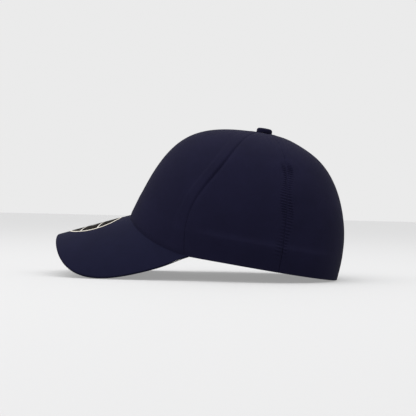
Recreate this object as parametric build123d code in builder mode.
"""Closed-back, stretch-fit baseball cap: five-panel crown, bent visor, sweatband and button.

Millimetres. The cap stands on the back edge of the crown and on the two sides of the visor.
The origin is under the middle of the cap, -Y is the front, +X the wearer's left and +Z is up.
A point of the crown is given by its azimuth, in degrees from the front towards the wearer's
left, and by its rise, from 0 at the base plane to 1 on top of the crown.
"""
import os
from math import asin, cos, degrees, exp, radians, sin, tan

from build123d import *

# Crown, measured from its own axis, which leans back while the cap rests
CROWN_TILT = 8.8
CROWN_FOOT = (0, 39.0, 14.0)
CROWN_HEIGHT = 124.5
BASE_FRONT = 119.1
BASE_SIDE = 83.9
BASE_BACK = 91.5
FRONT_SQUARENESS = 2.47
BACK_SQUARENESS = 2.25

# Walls of the crown in front, at the sides and at the back: how far up the wall keeps its
# first direction, how much it leans in on the way, and how wide the flat top is
WALL_LENGTH = (90.3, 82.0, 83.8)
WALL_LEAN = (0.31, -0.03, -0.098)
TOP_REACH = (89.2, 52.0, 56.3)

# Seams of the crown; the front one bows forward low on the wall, round the stiffened front
FRONT_SEAM_TOP = 64.5
FRONT_SEAM_BOW = 12.0
FRONT_SEAM_BOW_RISE = 0.15
FRONT_SEAM_BOW_SPREAD = 0.25
REAR_SEAM = 111.0
BACK_SEAM = 180.0
SEAM_GAP = 0.3
BUTTON_HOLE_RISE = 0.98

# Layers of the crown, from the outside in
PANEL_THICKNESS = 0.9
BUCKRAM_THICKNESS = 0.6
TAPE_THICKNESS = 0.35
BAND_THICKNESS = 0.6
SWEATBAND_THICKNESS = 0.8
LABEL_THICKNESS = 0.2
LAYER_GAP = 0.06
BUCKRAM_DEPTH = PANEL_THICKNESS + LAYER_GAP
BAND_DEPTH = BUCKRAM_DEPTH + BUCKRAM_THICKNESS + LAYER_GAP
SWEATBAND_DEPTH = BAND_DEPTH + BAND_THICKNESS + LAYER_GAP
LINING_DEPTH = SWEATBAND_DEPTH + SWEATBAND_THICKNESS

# Inner pieces of the crown, placed by rise and azimuth; bands are measured up from the edge
BUCKRAM_TOP = 0.72
TAPE_WIDTH = 18.0
TAPE_HALF_ANGLE = 20.0
TAPE_TOP = 0.95
HEM_RISE = 0.004
BAND_RISE = 0.09
PAD_RISE = 0.11
PAD_HALF_ANGLE = 52.0
BAND_START = 57.0
SWEATBAND_RISE = 0.118
LABEL_BOTTOM = 0.095
CARE_LABEL_SPAN = (146.0, 164.0)
CARE_LABEL_TOP = 0.25
SIZE_LABEL_SPAN = (188.0, 198.0)
SIZE_LABEL_TOP = 0.17

# Visor: a plate bent round one axis that slopes down towards the front; its sides are pinched
# in just before its rear corners, where they run in under the crown
VISOR_ROOT_RISE = 0.102
VISOR_SLOPE = 16.2
VISOR_RADIUS = 88.9
VISOR_LENGTH = 71.3
VISOR_SIDE_LENGTH = 45.0
VISOR_HALF_SWEEP = 65.5
VISOR_SQUARENESS = 4.28
VISOR_PINCH = 0.03
PINCH_SHARPNESS = 60
VISOR_CORNER = 59.0
VISOR_REACH = 90.0
EDGE_LEVELS = (30.0, 95.0)
COVER_THICKNESS = 0.6
BOARD_THICKNESS = 1.8
BOARD_DEPTH = COVER_THICKNESS + LAYER_GAP
VISOR_THICKNESS = BOARD_THICKNESS + 2 * BOARD_DEPTH
EDGE_LAP = 1.0
VISOR_LIP = LINING_DEPTH + 0.3

# Round sticker on top of the visor
STICKER_RADIUS = 25.5
STICKER_THICKNESS = 0.15
STICKER_FORWARD = 33.5
STICKER_ASIDE = 3.0

# Covered button, its two-legged clip and the washer that the legs are bent over
BUTTON_RADIUS = 7.4
BUTTON_HEIGHT = 4.8
BUTTON_ROUNDING = 2.2
BUTTON_COVER_THICKNESS = 0.6
BUTTON_SHELL_THICKNESS = 0.5
CLIP_THICKNESS = 0.5
LEG_WIDTH = 2.4
LEG_SPACING = 3.0
LEG_FOOT = 4.0
WASHER_RADIUS = 6.5
WASHER_HOLE_RADIUS = 2.9
WASHER_THICKNESS = 0.5
WASHER_DEPTH = 1.3

# How closely curved faces and outlines are followed
COLUMN_ANGLE = 4.0
ROWS_PER_RISE = 18.0
FEWEST_STEPS = 4
OUTLINE_TURNS = range(-90, 91, 10)
REAR_STEPS = 8

CROWN_AXIS = (0, sin(radians(CROWN_TILT)), cos(radians(CROWN_TILT)))
CROWN_PLANE = Plane(CROWN_FOOT, x_dir=(1, 0, 0), z_dir=CROWN_AXIS)


def around(azimuth, front, side, back):
    """Value at an azimuth, eased from the front through the side to the back."""
    facing = cos(radians(azimuth))
    end = front if facing > 0 else back
    return side + (end - side) * facing**2


def oval(azimuth, length, width, squareness):
    """Distance from the centre of a superellipse to its outline."""
    along = abs(cos(radians(azimuth))) / length
    across = abs(sin(radians(azimuth))) / width
    return (along**squareness + across**squareness) ** (-1 / squareness)


def crown_profile(azimuth, rise):
    """Reach and height of a point of the wall, on a cubic curve from the base to the top."""
    if cos(radians(azimuth)) > 0:
        base = oval(azimuth, BASE_FRONT, BASE_SIDE, FRONT_SQUARENESS)
        top = oval(azimuth, TOP_REACH[0], TOP_REACH[1], 2)
    else:
        base = oval(azimuth, BASE_BACK, BASE_SIDE, BACK_SQUARENESS)
        top = oval(azimuth, TOP_REACH[2], TOP_REACH[1], 2)
    wall = around(azimuth, *WALL_LENGTH)
    shoulder = base - wall * around(azimuth, *WALL_LEAN)
    fall = 1 - rise
    low = 3 * fall**2 * rise
    high = 3 * fall * rise**2
    reach = fall**3 * base + low * shoulder + high * top
    height = low * wall + (high + rise**3) * CROWN_HEIGHT
    return reach, height


def crown_point(azimuth, rise):
    """Point of the crown's outer face."""
    reach, height = crown_profile(azimuth, rise)
    across = reach * sin(radians(azimuth))
    along = -reach * cos(radians(azimuth))
    return CROWN_PLANE.from_local_coords(Vector(across, along, height))


def skin(azimuth, rise, depth):
    """Point at a depth below the crown's outer face."""
    step = 0.001
    across = crown_point(azimuth + step, rise) - crown_point(azimuth - step, rise)
    upward = crown_point(azimuth, rise + step) - crown_point(azimuth, rise - step)
    return crown_point(azimuth, rise) - across.cross(upward).normalized() * depth


def edge_rise(azimuth):
    """Rise of the crown's lower edge, which climbs in front to meet the visor."""
    from_front = abs((azimuth + 180) % 360 - 180)
    return VISOR_ROOT_RISE * cos(radians(90 * min(from_front / VISOR_CORNER, 1))) ** 2


def front_seam(rise):
    """Azimuth of the seam between the front panel and the left side panel."""
    from_bow = (rise - FRONT_SEAM_BOW_RISE) / FRONT_SEAM_BOW_SPREAD
    return FRONT_SEAM_TOP - FRONT_SEAM_BOW * exp(-(from_bow**2))


def steady(value):
    """Line that climbs the crown at one azimuth, or runs round it at one rise."""
    return lambda position: value


def above_edge(height):
    """Line round the crown that keeps a rise above its lower edge."""
    return lambda azimuth: edge_rise(azimuth) + height


def beside(line, distance):
    """Line that keeps a distance from another, measured round the crown."""
    return lambda rise: line(rise) + degrees(distance / crown_profile(line(rise), rise)[0])


def opposite(line):
    """The same line on the wearer's right."""
    return lambda rise: -line(rise)


def tape_edge(line, side):
    """Edge of a seam tape, which narrows towards the button; side is 1 or -1."""
    def edge(rise):
        half_angle = degrees(TAPE_WIDTH / 2 / crown_profile(line(rise), rise)[0])
        narrowed = (half_angle**-4 + TAPE_HALF_ANGLE**-4) ** -0.25
        return line(rise) + side * narrowed
    return edge


def crown_sheet(start, end, bottom, top, depth=0.0):
    """Face between two lines that climb the crown and two lines that run round it."""
    columns = FEWEST_STEPS + int(abs(end(0) - start(0)) / COLUMN_ANGLE)
    rows = FEWEST_STEPS + int((top(0) - bottom(0)) * ROWS_PER_RISE)
    grid = []
    for row in range(rows + 1):
        share = row / rows
        climb = bottom(0) + (top(0) - bottom(0)) * share
        step = (end(climb) - start(climb)) / columns
        azimuths = [start(climb) + step * column for column in range(columns + 1)]
        heights = [bottom(azimuth) + (top(azimuth) - bottom(azimuth)) * share for azimuth in azimuths]
        grid.append([skin(azimuth, rise, depth) for azimuth, rise in zip(azimuths, heights)])
    return Face.make_surface_from_array_of_points(grid, tol=0.005, min_deg=3, max_deg=5)


def visor_outline(level, inset, lip, corner):
    """Outline of the visor, seen from its bend axis, on a flat plane at a level above that axis."""
    sweep = VISOR_HALF_SWEEP - degrees(inset / VISOR_RADIUS)
    length = VISOR_LENGTH + VISOR_SIDE_LENGTH - inset
    outer = []
    for turn in OUTLINE_TURNS:
        radius = oval(turn, length, sweep, VISOR_SQUARENESS)
        pinched = 1 - VISOR_PINCH * sin(radians(turn)) ** PINCH_SHARPNESS
        across = level * tan(radians(radius * pinched * sin(radians(turn))))
        outer.append((across, VISOR_SIDE_LENGTH - radius * cos(radians(turn))))
    steps = range(-REAR_STEPS, REAR_STEPS + 1)
    rear = []
    for step in steps:
        azimuth = -corner * step / REAR_STEPS
        inner = VISOR_PLANE.to_local_coords(skin(azimuth, edge_rise(azimuth), lip))
        rear.append((level * tan(asin(inner.X / VISOR_RADIUS)), inner.Y))
    front_edge = Edge.make_spline(outer, parameters=OUTLINE_TURNS)
    rear_edge = Edge.make_spline(rear, parameters=steps)
    with BuildLine(mode=Mode.PRIVATE) as outline:
        add(front_edge)
        add(rear_edge)
        Line(front_edge @ 1, rear_edge @ 0)
        Line(rear_edge @ 1, front_edge @ 0)
    return outline.line


def visor_layer(top, bottom, inset=0.0, lip=VISOR_LIP, corner=VISOR_CORNER):
    """Bent sheet of the visor between two depths under its top face, with square-cut edges."""
    with BuildPart(mode=Mode.PRIVATE) as layer:
        with BuildSketch(VISOR_SECTION):
            with Locations((0, -VISOR_RADIUS)):
                Circle(VISOR_RADIUS - top)
                Circle(VISOR_RADIUS - bottom, mode=Mode.SUBTRACT)
        extrude(amount=VISOR_REACH, both=True)
        for level in EDGE_LEVELS:
            with BuildSketch(VISOR_PLANE.offset(level - VISOR_RADIUS)):
                add(visor_outline(level, inset, lip, corner))
                make_face()
        loft(ruled=True, mode=Mode.INTERSECT)
    return layer.part


def write(piece, label):
    """Label a finished piece and write it to its own file."""
    piece.part.label = label
    export_step(piece.part, f"parts/{label}.step")


os.makedirs("parts", exist_ok=True)

VISOR_ROOT = crown_point(0, VISOR_ROOT_RISE)
VISOR_NORMAL = (0, -sin(radians(VISOR_SLOPE)), cos(radians(VISOR_SLOPE)))
VISOR_FORWARD = (0, -cos(radians(VISOR_SLOPE)), -sin(radians(VISOR_SLOPE)))
VISOR_PLANE = Plane(VISOR_ROOT, x_dir=(1, 0, 0), z_dir=VISOR_NORMAL)
VISOR_SECTION = Plane(VISOR_ROOT, x_dir=(1, 0, 0), z_dir=VISOR_FORWARD)
BUTTON_PLANE = Plane(crown_point(0, 1), x_dir=(1, 0, 0), z_dir=CROWN_AXIS)

# Space under the visor's top face, which the layers of the crown stand on
with BuildPart() as under_visor:
    with BuildSketch(VISOR_SECTION.offset(-VISOR_SIDE_LENGTH - VISOR_LIP)):
        with Locations((0, -VISOR_RADIUS)):
            Circle(VISOR_RADIUS + LAYER_GAP)
    extrude(amount=VISOR_SIDE_LENGTH + VISOR_LIP + VISOR_REACH)

base_line = steady(0)
top_line = steady(BUTTON_HOLE_RISE)
hem_line = steady(HEM_RISE)
rear_seam = steady(REAR_SEAM)
back_seam = steady(BACK_SEAM)

# Outer panels of the crown
front_edge = beside(front_seam, -SEAM_GAP / 2)
with BuildPart() as front_panel:
    thicken(crown_sheet(opposite(front_edge), front_edge, base_line, top_line), amount=PANEL_THICKNESS)
    add(under_visor.part, mode=Mode.SUBTRACT)
write(front_panel, "front_panel")

side_edges = beside(front_seam, SEAM_GAP / 2), beside(rear_seam, -SEAM_GAP / 2)
with BuildPart() as side_panel_left:
    thicken(crown_sheet(*side_edges, base_line, top_line), amount=PANEL_THICKNESS)
    add(under_visor.part, mode=Mode.SUBTRACT)
write(side_panel_left, "side_panel_left")

with BuildPart() as side_panel_right:
    mirror(side_panel_left.part, about=Plane.YZ)
write(side_panel_right, "side_panel_right")

rear_edges = beside(rear_seam, SEAM_GAP / 2), beside(back_seam, -SEAM_GAP / 2)
with BuildPart() as rear_panel_left:
    thicken(crown_sheet(*rear_edges, base_line, top_line), amount=PANEL_THICKNESS)
write(rear_panel_left, "rear_panel_left")

with BuildPart() as rear_panel_right:
    mirror(rear_panel_left.part, about=Plane.YZ)
write(rear_panel_right, "rear_panel_right")

# Stiffener behind the front panel, between the tapes of the two front seams
buckram_edge = beside(tape_edge(front_seam, -1), -SEAM_GAP)
buckram_sheet = crown_sheet(
    opposite(buckram_edge), buckram_edge, base_line, steady(BUCKRAM_TOP), BUCKRAM_DEPTH
)
with BuildPart() as front_buckram:
    thicken(buckram_sheet, amount=BUCKRAM_THICKNESS)
    add(under_visor.part, mode=Mode.SUBTRACT)
write(front_buckram, "front_buckram")

# Tapes that cover the five seams inside
for label, seam in (("seam_tape_front", front_seam), ("seam_tape_rear", rear_seam)):
    tape_edges = tape_edge(seam, -1), tape_edge(seam, 1)
    with BuildPart() as left_tape:
        thicken(crown_sheet(*tape_edges, hem_line, steady(TAPE_TOP), BUCKRAM_DEPTH), amount=TAPE_THICKNESS)
        add(under_visor.part, mode=Mode.SUBTRACT)
    write(left_tape, label + "_left")
    with BuildPart() as right_tape:
        mirror(left_tape.part, about=Plane.YZ)
    write(right_tape, label + "_right")

back_edges = tape_edge(back_seam, -1), tape_edge(back_seam, 1)
with BuildPart() as seam_tape_back:
    thicken(crown_sheet(*back_edges, hem_line, steady(TAPE_TOP), BUCKRAM_DEPTH), amount=TAPE_THICKNESS)
write(seam_tape_back, "seam_tape_back")

# Stretch band round the sides and back, foam pad in front, and the sweatband over both
band_sheet = crown_sheet(
    steady(BAND_START), steady(360 - BAND_START), hem_line, above_edge(BAND_RISE), BAND_DEPTH
)
with BuildPart() as stretch_band:
    thicken(band_sheet, amount=BAND_THICKNESS)
    add(under_visor.part, mode=Mode.SUBTRACT)
write(stretch_band, "stretch_band")

pad_sheet = crown_sheet(
    steady(-PAD_HALF_ANGLE), steady(PAD_HALF_ANGLE), hem_line, above_edge(PAD_RISE), BAND_DEPTH
)
with BuildPart() as front_pad:
    thicken(pad_sheet, amount=BAND_THICKNESS)
    add(under_visor.part, mode=Mode.SUBTRACT)
write(front_pad, "front_pad")

band_end = beside(back_seam, -SEAM_GAP / 2)
sweatband_sheet = crown_sheet(
    opposite(band_end), band_end, hem_line, above_edge(SWEATBAND_RISE), SWEATBAND_DEPTH
)
with BuildPart() as sweatband:
    thicken(sweatband_sheet, amount=SWEATBAND_THICKNESS)
    add(under_visor.part, mode=Mode.SUBTRACT)
write(sweatband, "sweatband")

# Blank labels sewn in behind the top of the sweatband
for label, span, top in (
    ("care_label", CARE_LABEL_SPAN, CARE_LABEL_TOP),
    ("size_label", SIZE_LABEL_SPAN, SIZE_LABEL_TOP),
):
    with BuildPart() as sewn_label:
        thicken(
            crown_sheet(steady(span[0]), steady(span[1]), steady(LABEL_BOTTOM), steady(top), BAND_DEPTH),
            amount=LABEL_THICKNESS,
        )
    write(sewn_label, label)

# Visor: stiff board between two covers that lap round its edge and meet at half thickness
seam_depth = VISOR_THICKNESS / 2
board_bottom = VISOR_THICKNESS - BOARD_DEPTH
with BuildPart() as visor_board:
    add(visor_layer(BOARD_DEPTH, board_bottom, EDGE_LAP))
write(visor_board, "visor_board")

open_rear = {"lip": VISOR_LIP + EDGE_LAP, "corner": VISOR_CORNER + EDGE_LAP}
top_cavity = visor_layer(COVER_THICKNESS, seam_depth, EDGE_LAP - LAYER_GAP, **open_rear)
with BuildPart() as visor_top_cover:
    add(visor_layer(0, seam_depth - LAYER_GAP / 2))
    add(top_cavity, mode=Mode.SUBTRACT)
write(visor_top_cover, "visor_top_cover")

cavity_bottom = VISOR_THICKNESS - COVER_THICKNESS
under_cavity = visor_layer(seam_depth, cavity_bottom, EDGE_LAP - LAYER_GAP, **open_rear)
with BuildPart() as visor_under_cover:
    add(visor_layer(seam_depth + LAYER_GAP / 2, VISOR_THICKNESS))
    add(under_cavity, mode=Mode.SUBTRACT)
write(visor_under_cover, "visor_under_cover")

# Sticker on the visor
with BuildPart() as visor_sticker:
    with BuildSketch(VISOR_SECTION):
        with Locations((0, -VISOR_RADIUS)):
            Circle(VISOR_RADIUS + LAYER_GAP + STICKER_THICKNESS)
            Circle(VISOR_RADIUS + LAYER_GAP, mode=Mode.SUBTRACT)
    extrude(amount=VISOR_REACH)
    with BuildSketch(VISOR_PLANE):
        with Locations((STICKER_ASIDE, -STICKER_FORWARD)):
            Circle(STICKER_RADIUS)
    extrude(amount=VISOR_RADIUS / 2, both=True, mode=Mode.INTERSECT)
write(visor_sticker, "visor_sticker")

# Button: cloth cover over a steel cup, held by a clip whose legs are bent over a washer inside
with BuildPart(BUTTON_PLANE) as button_cover:
    Cylinder(BUTTON_RADIUS, BUTTON_HEIGHT, align=(Align.CENTER, Align.CENTER, Align.MIN))
    fillet(edges().filter_by(GeomType.CIRCLE).sort_by(Axis.Z)[-1], BUTTON_ROUNDING)
    offset(amount=-BUTTON_COVER_THICKNESS, openings=faces().sort_by(Axis.Z)[0])
write(button_cover, "button_cover")

shell_inset = BUTTON_COVER_THICKNESS + LAYER_GAP
with BuildPart(BUTTON_PLANE) as button_shell:
    Cylinder(
        BUTTON_RADIUS - shell_inset,
        BUTTON_HEIGHT - shell_inset,
        align=(Align.CENTER, Align.CENTER, Align.MIN),
    )
    fillet(edges().filter_by(GeomType.CIRCLE).sort_by(Axis.Z)[-1], BUTTON_ROUNDING - shell_inset)
    offset(amount=-BUTTON_SHELL_THICKNESS, openings=faces().sort_by(Axis.Z)[0])
write(button_shell, "button_shell")

clip_radius = BUTTON_RADIUS - shell_inset - BUTTON_SHELL_THICKNESS - LAYER_GAP
leg_length = WASHER_DEPTH + WASHER_THICKNESS + LAYER_GAP
with BuildPart() as button_clip:
    with BuildSketch(BUTTON_PLANE):
        Circle(clip_radius)
    extrude(amount=CLIP_THICKNESS)
    with BuildSketch(BUTTON_PLANE):
        with Locations((-LEG_SPACING / 2, 0), (LEG_SPACING / 2, 0)):
            Rectangle(CLIP_THICKNESS, LEG_WIDTH)
    extrude(amount=-leg_length - CLIP_THICKNESS)
    with BuildSketch(BUTTON_PLANE.offset(-leg_length)):
        with Locations((-(LEG_SPACING + LEG_FOOT) / 2, 0), ((LEG_SPACING + LEG_FOOT) / 2, 0)):
            Rectangle(LEG_FOOT, LEG_WIDTH)
    extrude(amount=-CLIP_THICKNESS)
write(button_clip, "button_clip")

with BuildPart() as button_washer:
    with BuildSketch(BUTTON_PLANE.offset(-WASHER_DEPTH)):
        Circle(WASHER_RADIUS)
        Circle(WASHER_HOLE_RADIUS, mode=Mode.SUBTRACT)
    extrude(amount=-WASHER_THICKNESS)
write(button_washer, "button_washer")
